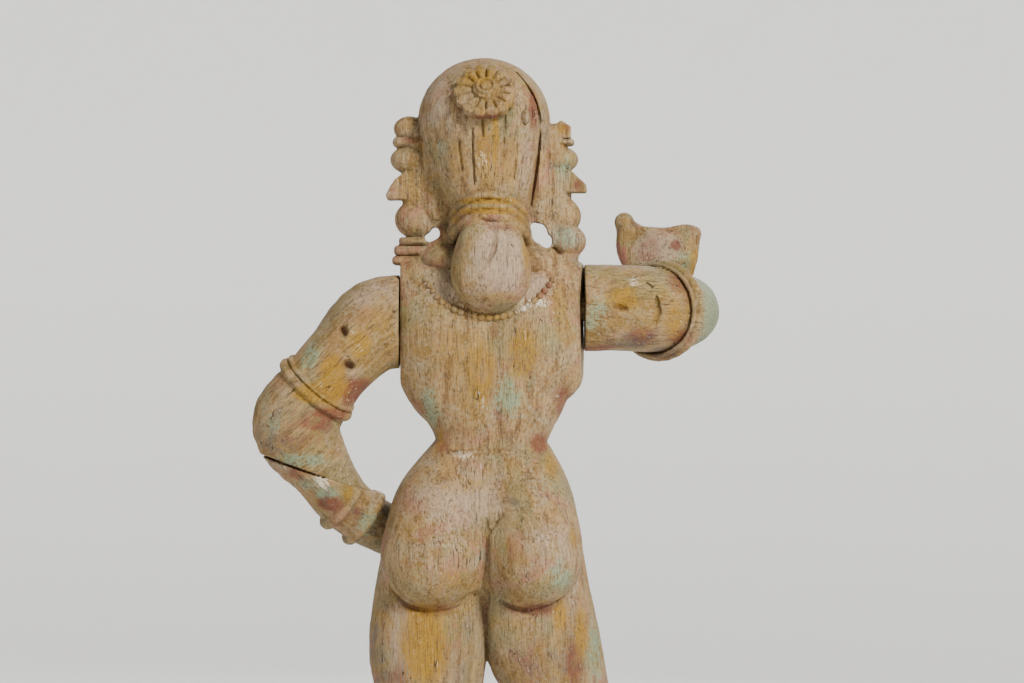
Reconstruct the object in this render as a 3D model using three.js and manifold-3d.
// A standing female figure carved in wood and painted, in the South Indian temple manner.
//
// Head, torso, hips, legs and feet are one log. Each arm is pieced together and plugs into a flat
// shoulder face with a round dowel, so it can turn on the dowel and draw off sideways. The figure
// stands on a plinth, held by a dowel through each foot.
//
// Millimetres. +Z is up, the figure faces -Y, and its own left side is at +X.
// The origin is the centre of the plinth's underside.

import * as THREE from 'three';
import { mergeVertices } from 'three/addons/utils/BufferGeometryUtils.js';
import Module from 'manifold-3d';

const wasm = await Module();
wasm.setup();

// ---------------------------------------------------------------- driving dimensions

const JOINT_GAP = 0.3; // left between pieces that touch
const LOOSE_GAP = 3.5; // the right arm stands off its shoulder face

const PLINTH = { width: 280, depth: 216, height: 60, ledge: 12, waist: 8 };
const SOLE_Z = PLINTH.height + JOINT_GAP;

const LEFT_FACE_X = 70; // flat shoulder faces of the log
const RIGHT_FACE_X = -73.5;
const LEFT_SHOULDER = new THREE.Vector3(LEFT_FACE_X + 2 * JOINT_GAP, 0, 733);
const RIGHT_SHOULDER = new THREE.Vector3(RIGHT_FACE_X - LOOSE_GAP, 0, 744);

const SHOULDER_DOWEL = { radius: 11, inLog: 30, inArm: 30 };
const LIMB_DOWEL = { radius: 6, reach: 18 };
const FOOT_DOWEL = { radius: 9, inFoot: 26, inPlinth: 32 };
const PIN_HOLE_RADIUS = 4;

const CROWN = { centre: new THREE.Vector3(3, 4, 893), radii: [52, 56, 47] };
const ROSETTE = { radius: 25, thickness: 8, boss: 8, tilt: THREE.MathUtils.degToRad(32) };
const ROSETTE_PEG = { radius: 4, reach: 14 };
const PLUG = { radius: 4, reach: 11, proud: 1 };

const EAR_X = { left: 59, right: -58 };
const FOOT = { length: 126, heelY: 34, halfWidth: 25 };
const LEFT_ANKLE = new THREE.Vector3(46, 8, 96);
const RIGHT_ANKLE = new THREE.Vector3(-88, 6, 96);

// Where the elbow joint of the akimbo arm lies: nearly level, and inclined towards the body.
const LEFT_ELBOW = { point: new THREE.Vector3(138, 2, 612), slope: THREE.MathUtils.degToRad(12) };

const ACROSS_X = new THREE.Vector3(1, 0, 0);
const ACROSS_Y = new THREE.Vector3(0, 1, 0);
const UP = new THREE.Vector3(0, 0, 1);

// ---------------------------------------------------------------- solids from three.js geometry

// A closed three.js geometry as a solid that can be joined and cut.
function solid(geometry) {
  const bare = geometry.index ? geometry.clone() : geometry;
  bare.deleteAttribute('normal');
  bare.deleteAttribute('uv');
  const merged = mergeVertices(bare, 1e-4);
  const mesh = new wasm.Mesh({
    numProp: 3,
    vertProperties: Float32Array.from(merged.attributes.position.array),
    triVerts: Uint32Array.from(merged.index.array),
  });
  return new wasm.Manifold(mesh);
}

function join(solids) {
  return solids.reduce((whole, piece) => whole.add(piece));
}

function cut(block, tools) {
  return tools.reduce((left, tool) => left.subtract(tool), block);
}

function ellipsoid(centre, radii, sides = 24, rings = 14) {
  const geometry = new THREE.SphereGeometry(1, sides, rings);
  geometry.scale(...radii);
  geometry.translate(...centre);
  return solid(geometry);
}

function rod(from, to, radius, sides = 20) {
  const geometry = new THREE.CylinderGeometry(radius, radius, from.distanceTo(to), sides);
  const direction = to.clone().sub(from).normalize();
  geometry.applyQuaternion(new THREE.Quaternion().setFromUnitVectors(ACROSS_Y, direction));
  geometry.translate(...from.clone().lerp(to, 0.5));
  return solid(geometry);
}

// A closed solid through a row of sections [x, y, z, half width, half depth]. The widths run along
// `across`, and a squareness over 2 fills out the corners of the ovals.
function loft(sections, across, { sides = 18, rings = 8, squareness = 2 } = {}) {
  const centres = new THREE.CatmullRomCurve3(sections.map(([x, y, z]) => new THREE.Vector3(x, y, z)));
  const ovals = new THREE.CatmullRomCurve3(sections.map(([, , , wide, deep], i) =>
    new THREE.Vector3(wide, deep, 40 * i)));
  const geometry = new THREE.CylinderGeometry(1, 1, 1, sides, rings);
  const vertices = geometry.attributes.position;
  const filled = (value) => Math.sign(value) * Math.abs(value) ** (2 / squareness);
  for (let i = 0; i < vertices.count; i += 1) {
    const along = 0.5 - vertices.getY(i);
    const tangent = centres.getTangent(along);
    const side = across.clone().addScaledVector(tangent, -across.dot(tangent)).normalize();
    const front = tangent.clone().cross(side);
    const oval = ovals.getPoint(along);
    const place = centres.getPoint(along)
      .addScaledVector(side, filled(vertices.getX(i)) * oval.x)
      .addScaledVector(front, filled(vertices.getZ(i)) * oval.y);
    vertices.setXYZ(i, ...place);
  }
  return solid(geometry);
}

// A limb with a round end: a loft whose last section is closed by a ball.
function roundEndedLoft(sections, across, options) {
  const [x, y, z, wide, deep] = sections.at(-1);
  const ball = ellipsoid([x, y, z], [wide, wide, deep], 8, 5);
  return loft(sections, across, options).add(ball);
}

// A turned shape about a vertical axis, from [radius, height] points that start and end on the axis.
function turned(profile, x, y, flattening = 1, sides = 12) {
  const geometry = new THREE.LatheGeometry(profile.map(([r, h]) => new THREE.Vector2(r, h)), sides);
  geometry.rotateX(Math.PI / 2);
  geometry.scale(1, flattening, 1);
  geometry.translate(x, y, 0);
  return solid(geometry);
}

// A round tube along a smooth curve through the points.
function tube(points, radius, steps = 12, sides = 8) {
  const section = new THREE.Shape();
  section.absarc(0, 0, radius, 0, 2 * Math.PI);
  const path = new THREE.CatmullRomCurve3(points.map((p) => new THREE.Vector3(...p)));
  return solid(new THREE.ExtrudeGeometry(section, { steps, curveSegments: sides / 2, extrudePath: path }));
}

function box(low, high) {
  const geometry = new THREE.BoxGeometry(high[0] - low[0], high[1] - low[1], high[2] - low[2]);
  geometry.translate(...low.map((value, axis) => (value + high[axis]) / 2));
  return solid(geometry);
}

// Everything within reach on the side of the plane that its normal points away from.
function behindPlane(point, normal, reach = 500) {
  const geometry = new THREE.BoxGeometry(reach, reach, reach);
  geometry.translate(0, 0, -reach / 2);
  geometry.applyQuaternion(new THREE.Quaternion().setFromUnitVectors(UP, normal));
  geometry.translate(...point);
  return solid(geometry);
}

// A ring that stands proud of a limb, square to `direction`.
function bangle(centre, direction, radii, thickness) {
  const profile = [
    [0.6, -thickness],
    [1.05, -thickness],
    [1.13, 0],
    [1.05, thickness],
    [0.6, thickness],
    [0.6, -thickness],
  ].map(([radius, height]) => new THREE.Vector2(radius, height));
  const geometry = new THREE.LatheGeometry(profile, 18);
  geometry.scale(radii[0], 1, radii[1]);
  geometry.applyQuaternion(new THREE.Quaternion().setFromUnitVectors(ACROSS_Y, direction));
  geometry.translate(...centre);
  return solid(geometry);
}

// Two pieces of one limb, parted by a plane with the joint gap between them, and bored for a dowel.
function partLimb(limb, point, normal, dowelReach) {
  const dowelFrom = point.clone().addScaledVector(normal, -dowelReach);
  const dowelTo = point.clone().addScaledVector(normal, dowelReach);
  const bore = rod(
    dowelFrom.clone().addScaledVector(normal, -JOINT_GAP),
    dowelTo.clone().addScaledVector(normal, JOINT_GAP),
    LIMB_DOWEL.radius + JOINT_GAP,
  );
  const far = point.clone().addScaledVector(normal, JOINT_GAP);
  const lower = limb.intersect(behindPlane(point, normal)).subtract(bore);
  const upper = limb.intersect(behindPlane(far, normal.clone().negate())).subtract(bore);
  return { lower, upper, dowel: rod(dowelFrom, dowelTo, LIMB_DOWEL.radius) };
}

// ---------------------------------------------------------------- the log

function head() {
  const face = loft([
    [2, -8, 905, 38, 36],
    [2, -10, 880, 43, 42],
    [2, -12, 855, 43, 42],
    [2, -14, 830, 37, 38],
    [2, -18, 808, 25, 30],
    [2, -22, 796, 13, 20],
  ], ACROSS_X);
  const nose = loft([[2, -50, 872, 4, 4], [2, -56, 850, 6, 8], [2, -52, 842, 7, 8]], ACROSS_X,
    { sides: 10, rings: 5 });
  const lips = ellipsoid([2, -49, 828], [11, 5, 5], 12, 8);
  const chin = ellipsoid([2, -38, 808], [13, 12, 11], 14, 8);
  const crown = ellipsoid(CROWN.centre, CROWN.radii, 24, 14);
  const hairTail = loft([
    [3, 6, 893, 51, 48],
    [3, 8, 872, 46, 44],
    [1, 12, 843, 38, 36],
    [0, 20, 815, 27, 25],
  ], ACROSS_X, { sides: 24, rings: 5 });
  const neck = loft([[0, 0, 830, 27, 27], [0, 0, 800, 27, 25], [-1, 0, 768, 34, 28]], ACROSS_X);
  return join([crown, hairTail, face, nose, lips, chin, neck]);
}

// Three rolls bind the hair above the bun, each arched upwards.
function hairTies() {
  const rolls = [832, 824, 816].map((topZ) => tube([
    [27, 14, topZ - 16],
    [19, 34, topZ - 7],
    [0, 42, topZ],
    [-19, 34, topZ - 7],
    [-28, 14, topZ - 16],
  ], 4.5, 8));
  return join(rolls);
}

function bun() {
  return roundEndedLoft([
    [0, 26, 818, 20, 16],
    [-1, 36, 800, 25, 20],
    [-2, 40, 783, 31, 24],
    [-2.5, 41, 768, 33, 25],
    [-2.5, 40, 757, 28, 16],
  ], ACROSS_X, { sides: 16, rings: 7 });
}

// A stack of bud, bulge, flared wing, ball and ridged base, from the temple down to the shoulder.
function earOrnament(x, baseRadius) {
  return turned([
    [0, 898],
    [9, 895],
    [15, 886],
    [9, 875],
    [17, 866],
    [16, 858],
    [10, 852],
    [21, 838],
    [21, 834],
    [9, 830],
    [16, 822],
    [17, 812],
    [9, 799],
    [baseRadius, 795],
    [baseRadius - 2, 790],
    [baseRadius, 785],
    [baseRadius - 4, 768],
    [0, 768],
  ].reverse(), x, 0, 0.85);
}

function torso() {
  const trunk = loft([
    [-1.5, 2, 784, 52, 18],
    [-1.5, 1, 772, 82, 31],
    [-1.5, 0, 735, 86, 38],
    [-1.5, 0, 703, 82, 40],
    [-1.5, 0, 672, 54, 38],
    [-1.5, 0, 641, 42, 33],
    [-2, 1, 610, 56, 40],
    [2, 2, 572, 71, 46],
    [4, 2, 535, 78, 48],
    [4, 0, 500, 76, 44],
  ], ACROSS_X, { sides: 24, rings: 20, squareness: 2.5 });
  const bodice = [24, -26].map((x) => ellipsoid([x, -26, 716], [25, 22, 24], 14, 8));
  const buttocks = [
    ellipsoid([44, 14, 547], [42, 42, 45], 18, 10),
    ellipsoid([-37, 14, 548], [38, 42, 45], 18, 10),
  ];
  return join([trunk, ...bodice, ...buttocks]);
}

function leg(sections) {
  return loft(sections, ACROSS_X, { sides: 16, rings: 14 });
}

function foot(ankle, turnOut) {
  const tipY = FOOT.heelY - FOOT.length;
  const shape = loft([
    [0, FOOT.heelY, SOLE_Z + 16, 12, 14],
    [0, 16, SOLE_Z + 17, 20, 24],
    [0, -20, SOLE_Z + 12, 23, 22],
    [0, -60, SOLE_Z + 8, FOOT.halfWidth, 14],
    [0, tipY, SOLE_Z + 6, 18, 8],
  ], ACROSS_X, { sides: 14, rings: 6 });
  const aboveSole = box([-60, -150, SOLE_Z], [60, 100, SOLE_Z + 60]);
  return shape.intersect(aboveSole)
    .rotate([0, 0, turnOut])
    .translate([ankle.x, ankle.y, 0]);
}

// The pleated end of the lower garment, hanging short in front.
function frontTongue() {
  return loft([
    [0, -34, 632, 12, 5],
    [1, -46, 575, 15, 8],
    [0, -48, 520, 13, 7],
    [-1, -44, 478, 11, 5],
  ], ACROSS_X, { sides: 12, rings: 5 });
}

function necklaces() {
  const atBack = tube([[50, 18, 764], [26, 36, 743], [-2, 40, 737], [-32, 36, 744], [-55, 16, 768]], 2.4);
  const atFront = tube([[38, -24, 772], [24, -38, 752], [-1, -43, 744], [-26, -38, 752], [-40, -24, 772]], 3.5);
  return atBack.add(atFront);
}

// A blind shoulder socket, from outside the face to the dowel's inner end.
function shoulderSocket(shoulder, outward) {
  const mouth = shoulder.clone().add(new THREE.Vector3(outward * 20, 0, 0));
  const end = shoulder.clone().add(new THREE.Vector3(-outward * (SHOULDER_DOWEL.inLog + 8), 0, 0));
  return rod(mouth, end, SHOULDER_DOWEL.radius + JOINT_GAP, 24);
}

function footDowelHole(ankle) {
  const top = new THREE.Vector3(ankle.x, ankle.y, SOLE_Z + FOOT_DOWEL.inFoot + 1);
  const bottom = new THREE.Vector3(ankle.x, ankle.y, PLINTH.height - FOOT_DOWEL.inPlinth - 1);
  return rod(bottom, top, FOOT_DOWEL.radius + JOINT_GAP);
}

function bodyBlock() {
  const leftLeg = leg([
    [38, 2, 560, 40, 42],
    [46, 0, 512, 45, 42],
    [48, -1, 470, 46, 42],
    [47, -3, 430, 43, 40],
    [46, -7, 310, 31, 32],
    [46, 3, 240, 30, 33],
    [46, 8, 140, 21, 22],
    [46, 8, 80, 20, 22],
  ]);
  const rightLeg = leg([
    [-32, 2, 560, 38, 42],
    [-37, 0, 512, 44, 42],
    [-45, -3, 474, 45, 42],
    [-55, -6, 440, 42, 39],
    [-84, -16, 310, 31, 32],
    [-90, -4, 240, 30, 33],
    [-88, 6, 140, 21, 22],
    [-88, 6, 80, 20, 22],
  ]);
  const leftShoulderCut = box([LEFT_FACE_X, -80, 685], [LEFT_FACE_X + 60, 80, 779]);
  const rightShoulderCut = box([RIGHT_FACE_X - 60, -80, 685], [RIGHT_FACE_X, 80, 783]);
  const trunk = cut(torso(), [leftShoulderCut, rightShoulderCut]);
  const carved = join([
    trunk,
    head(),
    hairTies(),
    bun(),
    earOrnament(EAR_X.left, 15),
    earOrnament(EAR_X.right, 14),
    leftLeg,
    rightLeg,
    foot(LEFT_ANKLE, 8),
    foot(RIGHT_ANKLE, -14),
    frontTongue(),
    necklaces(),
  ]);
  return cut(carved, [
    shoulderSocket(LEFT_SHOULDER, 1),
    shoulderSocket(RIGHT_SHOULDER, -1),
    footDowelHole(LEFT_ANKLE),
    footDowelHole(RIGHT_ANKLE),
    rosetteSeat(),
    plugHole(),
  ]);
}

// ---------------------------------------------------------------- on the crown

const rosetteNormal = new THREE.Vector3(0, Math.cos(ROSETTE.tilt), Math.sin(ROSETTE.tilt));
const rosetteCentre = CROWN.centre.clone().add(new THREE.Vector3(-1, 48, 22));

function onRosetteAxis(distance) {
  return rosetteCentre.clone().addScaledVector(rosetteNormal, distance);
}

// The crown is flattened under the rosette, and bored for its peg.
function rosetteSeat() {
  const flat = rod(onRosetteAxis(0), onRosetteAxis(30), ROSETTE.radius + JOINT_GAP, 36);
  const bore = rod(onRosetteAxis(-ROSETTE_PEG.reach - 1), onRosetteAxis(1), ROSETTE_PEG.radius + JOINT_GAP);
  return flat.add(bore);
}

function hairRosette() {
  const petals = 12;
  const outline = new THREE.Shape();
  const depth = ROSETTE.thickness;
  const points = 6 * petals;
  for (let i = 0; i <= points; i += 1) {
    const angle = (2 * Math.PI * i) / points;
    const radius = ROSETTE.radius - 2 + 2 * Math.abs(Math.cos((petals * angle) / 2));
    const [x, y] = [radius * Math.cos(angle), radius * Math.sin(angle)];
    if (i === 0) {
      outline.moveTo(x, y);
    } else if (i < points) {
      outline.lineTo(x, y);
    }
  }
  const geometry = new THREE.ExtrudeGeometry(outline, { depth, bevelEnabled: false });
  geometry.applyQuaternion(new THREE.Quaternion().setFromUnitVectors(UP, rosetteNormal));
  geometry.translate(...onRosetteAxis(JOINT_GAP));
  const boss = rod(onRosetteAxis(depth - 2), onRosetteAxis(depth + 4), ROSETTE.boss);
  const bore = rod(onRosetteAxis(-1), onRosetteAxis(depth - 2), ROSETTE_PEG.radius + JOINT_GAP);
  return solid(geometry).add(boss).subtract(bore);
}

function rosettePeg() {
  return rod(onRosetteAxis(-ROSETTE_PEG.reach), onRosetteAxis(ROSETTE.thickness - 3), ROSETTE_PEG.radius);
}

const plugOutward = new THREE.Vector3(-0.665, 0.747, 0);
const plugMouth = new THREE.Vector3(-30, 47, 893);

function onPlugAxis(distance) {
  return plugMouth.clone().addScaledVector(plugOutward, distance);
}

function plugHole() {
  return rod(onPlugAxis(-PLUG.reach - 1), onPlugAxis(8), PLUG.radius + JOINT_GAP);
}

function crownPlug() {
  return rod(onPlugAxis(-PLUG.reach), onPlugAxis(PLUG.proud), PLUG.radius);
}

// ---------------------------------------------------------------- hands

// A hand in its own frame: fingers along +Y, palm facing +Z. `side` is 1 for a right hand, whose thumb
// is towards +X, and -1 for a left one. `curl` is the whole bend of the fingers in radians, and
// `thumbLift` is how far the thumb's tip stands out from the palm.
function handSolid({ side, curl, thumbLift }) {
  const palm = loft([
    [0, -8, 0, 15, 13],
    [0, 8, 0, 20, 12],
    [0, 26, 0, 26, 12],
    [0, 44, 0, 26, 9],
  ], ACROSS_X, { sides: 12, rings: 4 });
  const fingerLengths = [42, 46, 43, 35];
  const fingers = fingerLengths.map((length, i) => {
    const x = side * (19.5 - 13 * i);
    const joints = 4;
    const sections = [];
    let [y, z] = [38, 0];
    for (let joint = 0; joint <= joints; joint += 1) {
      sections.push([x, y, z, 6.6 - 0.4 * joint, 6.6 - 0.4 * joint]);
      const bend = (curl * joint) / joints;
      y += (length / joints) * Math.cos(bend);
      z += (length / joints) * Math.sin(bend);
    }
    return roundEndedLoft(sections, ACROSS_X, { sides: 7, rings: 4 });
  });
  const thumb = roundEndedLoft([
    [side * 16, 4, 0, 9, 9],
    [side * 31, 20, 0.5 * thumbLift, 8, 8],
    [side * 28, 42, thumbLift, 7, 7],
  ], ACROSS_X, { sides: 7, rings: 3 });
  return join([palm, ...fingers, thumb]);
}

// The hand moved so that its fingers run along `along` and its palm faces `palmward`.
function placedHand(pose, wrist, along, palmward) {
  const y = along.clone().normalize();
  const x = y.clone().cross(palmward).normalize();
  const z = x.clone().cross(y);
  const place = new THREE.Matrix4().makeBasis(x, y, z).setPosition(wrist);
  return handSolid(pose).transform(place.elements);
}

// What would reach past an arm's flat shoulder face, towards the torso.
function inwardOf(shoulder, outward) {
  const span = [shoulder.x, shoulder.x - outward * 60].sort((a, b) => a - b);
  return box([span[0], -90, shoulder.z - 90], [span[1], 90, shoulder.z + 90]);
}

// ---------------------------------------------------------------- left arm, hand on hip

function leftArm() {
  const limb = loft([
    [LEFT_SHOULDER.x - 12, 0, 733, 31, 37],
    [88, 2, 730, 33, 37],
    [114, 6, 706, 30, 31],
    [136, 9, 679, 28, 31],
    [152, 10, 648, 29, 34],
    [136, 0, 617, 25, 28],
    [116, -14, 592, 21, 22],
    [98, -29, 576, 17, 19],
    [84, -43, 567, 13, 17],
  ], ACROSS_Y, { sides: 16, rings: 14 });
  const armletSlant = new THREE.Vector3(0.63, 0.1, -0.77).normalize();
  const forearmSlant = new THREE.Vector3(-0.77, -0.3, -0.57).normalize();
  const hand = placedHand(
    { side: -1, curl: 0.5, thumbLift: -4 },
    new THREE.Vector3(82, -44, 566),
    new THREE.Vector3(-0.9, -0.36, -0.3),
    new THREE.Vector3(-0.35, 0.93, 0),
  );
  const whole = join([
    limb,
    bangle(new THREE.Vector3(135, 9, 680), armletSlant, [31, 34], 5),
    bangle(new THREE.Vector3(115, -15, 591), forearmSlant, [22, 22.5], 4),
    bangle(new THREE.Vector3(99, -28, 577), forearmSlant, [18, 19], 4),
  ]).subtract(inwardOf(LEFT_SHOULDER, 1));
  const jointNormal = new THREE.Vector3(-Math.sin(LEFT_ELBOW.slope), 0, Math.cos(LEFT_ELBOW.slope));
  const parts = partLimb(whole, LEFT_ELBOW.point, jointNormal, LIMB_DOWEL.reach);
  const pinHoles = [
    rod(new THREE.Vector3(114, 20, 725), new THREE.Vector3(114, 60, 725), PIN_HOLE_RADIUS, 12),
    rod(new THREE.Vector3(110, 18, 698), new THREE.Vector3(110, 60, 698), PIN_HOLE_RADIUS - 0.5, 10),
  ];
  const upper = cut(parts.upper, [shoulderBore(LEFT_SHOULDER, 1), ...pinHoles]);
  return { upper, forearm: parts.lower.add(hand), dowel: parts.dowel };
}

// ---------------------------------------------------------------- right arm, reaching forward

const RIGHT_ELBOW = {
  point: new THREE.Vector3(-148, -70, 742),
  normal: new THREE.Vector3(-0.25, -0.96, 0.12).normalize(),
};
const RIGHT_WRIST = {
  point: new THREE.Vector3(-143, -172, 766),
  normal: new THREE.Vector3(0.15, -0.85, 0.5).normalize(),
};

function rightArm() {
  const limb = loft([
    [RIGHT_SHOULDER.x + 12, 0, 744, 31, 35],
    [-100, -5, 744, 33, 34],
    [-124, -20, 743, 32, 32],
    [-142, -46, 742, 29, 30],
    [-150, -80, 742, 27, 28],
    [-151, -115, 746, 24, 26],
    [-147, -150, 757, 19, 20],
    [-141, -184, 773, 15, 15],
  ], new THREE.Vector3(0.6, 0.8, 0), { sides: 16, rings: 12 });
  const armletDirection = new THREE.Vector3(-0.55, -0.83, 0).normalize();
  const hand = placedHand(
    { side: 1, curl: 2.9, thumbLift: 8 },
    new THREE.Vector3(-147, -178, 767),
    new THREE.Vector3(-0.03, -0.22, 0.97),
    new THREE.Vector3(0, -0.97, -0.22),
  );
  const whole = join([
    limb,
    bangle(new THREE.Vector3(-128, -27, 743), armletDirection, [33, 33], 5),
    bangle(new THREE.Vector3(-145, -160, 761), RIGHT_WRIST.normal, [19, 19], 4),
    hand,
  ]).subtract(inwardOf(RIGHT_SHOULDER, -1));
  const elbow = partLimb(whole, RIGHT_ELBOW.point, RIGHT_ELBOW.normal, LIMB_DOWEL.reach);
  const wrist = partLimb(elbow.upper, RIGHT_WRIST.point, RIGHT_WRIST.normal, LIMB_DOWEL.reach - 4);
  const pinHole = rod(new THREE.Vector3(-104, 12, 743), new THREE.Vector3(-104, 60, 743), PIN_HOLE_RADIUS, 12);
  const upper = cut(elbow.lower, [shoulderBore(RIGHT_SHOULDER, -1), pinHole]);
  return {
    upper,
    forearm: wrist.lower,
    hand: wrist.upper,
    elbowDowel: elbow.dowel,
    wristDowel: wrist.dowel,
  };
}

// ---------------------------------------------------------------- shoulder joints and plinth

// The blind bore in an arm that takes the outer half of its shoulder dowel.
function shoulderBore(shoulder, outward) {
  const mouth = shoulder.clone().add(new THREE.Vector3(-outward * 10, 0, 0));
  const end = shoulder.clone().add(new THREE.Vector3(outward * (SHOULDER_DOWEL.inArm + JOINT_GAP), 0, 0));
  return rod(mouth, end, SHOULDER_DOWEL.radius + JOINT_GAP, 24);
}

function shoulderDowel(shoulder, outward) {
  const inner = shoulder.clone().add(new THREE.Vector3(-outward * SHOULDER_DOWEL.inLog, 0, 0));
  const outer = shoulder.clone().add(new THREE.Vector3(outward * SHOULDER_DOWEL.inArm, 0, 0));
  return rod(inner, outer, SHOULDER_DOWEL.radius, 24);
}

function footDowel(ankle) {
  const top = new THREE.Vector3(ankle.x, ankle.y, SOLE_Z + FOOT_DOWEL.inFoot);
  const bottom = new THREE.Vector3(ankle.x, ankle.y, PLINTH.height - FOOT_DOWEL.inPlinth);
  return rod(bottom, top, FOOT_DOWEL.radius);
}

// A block with a base and a top moulding, drawn in by a waist between them.
function plinth() {
  const { width, depth, height, ledge, waist } = PLINTH;
  const block = box([-width / 2, -depth / 2, 0], [width / 2, depth / 2, ledge + 4]);
  const inset = waist + ledge;
  const core = box([inset - width / 2, inset - depth / 2, 1], [width / 2 - inset, depth / 2 - inset, height - 1]);
  const top = box(
    [ledge - width / 2, ledge - depth / 2, height - ledge],
    [width / 2 - ledge, depth / 2 - ledge, height],
  );
  return cut(join([block, core, top]), [footDowelHole(LEFT_ANKLE), footDowelHole(RIGHT_ANKLE)]);
}

// ---------------------------------------------------------------- the assembly

const WORN_WOOD = { color: 0xb08f64, roughness: 0.78 };
const GREY_GREEN_WOOD = { color: 0xa3916f, roughness: 0.8 };
const OCHRE_WOOD = { color: 0xb48a52, roughness: 0.76 };
const DOWEL_WOOD = { color: 0x8a6a44, roughness: 0.7 };
const PLINTH_WOOD = { color: 0x8f7250, roughness: 0.82 };
const GREY_PLUG = { color: 0x8b8781, roughness: 0.7 };

const figure = new THREE.Group();

function addPiece(name, shape, finish) {
  const { vertProperties, triVerts } = shape.getMesh();
  const geometry = new THREE.BufferGeometry();
  geometry.setAttribute('position', new THREE.BufferAttribute(vertProperties, 3));
  geometry.setIndex(new THREE.BufferAttribute(triVerts, 1));
  geometry.computeVertexNormals();
  const piece = new THREE.Mesh(geometry, new THREE.MeshStandardMaterial({ ...finish, metalness: 0 }));
  piece.name = name;
  figure.add(piece);
}

const left = leftArm();
const right = rightArm();

addPiece('body_block', bodyBlock(), WORN_WOOD);
addPiece('hair_rosette', hairRosette(), OCHRE_WOOD);
addPiece('rosette_peg', rosettePeg(), DOWEL_WOOD);
addPiece('crown_plug', crownPlug(), GREY_PLUG);
addPiece('left_upper_arm', left.upper, OCHRE_WOOD);
addPiece('left_forearm', left.forearm, GREY_GREEN_WOOD);
addPiece('left_elbow_dowel', left.dowel, DOWEL_WOOD);
addPiece('left_shoulder_dowel', shoulderDowel(LEFT_SHOULDER, 1), DOWEL_WOOD);
addPiece('right_upper_arm', right.upper, OCHRE_WOOD);
addPiece('right_forearm', right.forearm, GREY_GREEN_WOOD);
addPiece('right_hand', right.hand, WORN_WOOD);
addPiece('right_elbow_dowel', right.elbowDowel, DOWEL_WOOD);
addPiece('right_wrist_dowel', right.wristDowel, DOWEL_WOOD);
addPiece('right_shoulder_dowel', shoulderDowel(RIGHT_SHOULDER, -1), DOWEL_WOOD);
addPiece('plinth', plinth(), PLINTH_WOOD);
addPiece('left_foot_dowel', footDowel(LEFT_ANKLE), DOWEL_WOOD);
addPiece('right_foot_dowel', footDowel(RIGHT_ANKLE), DOWEL_WOOD);

export default figure;
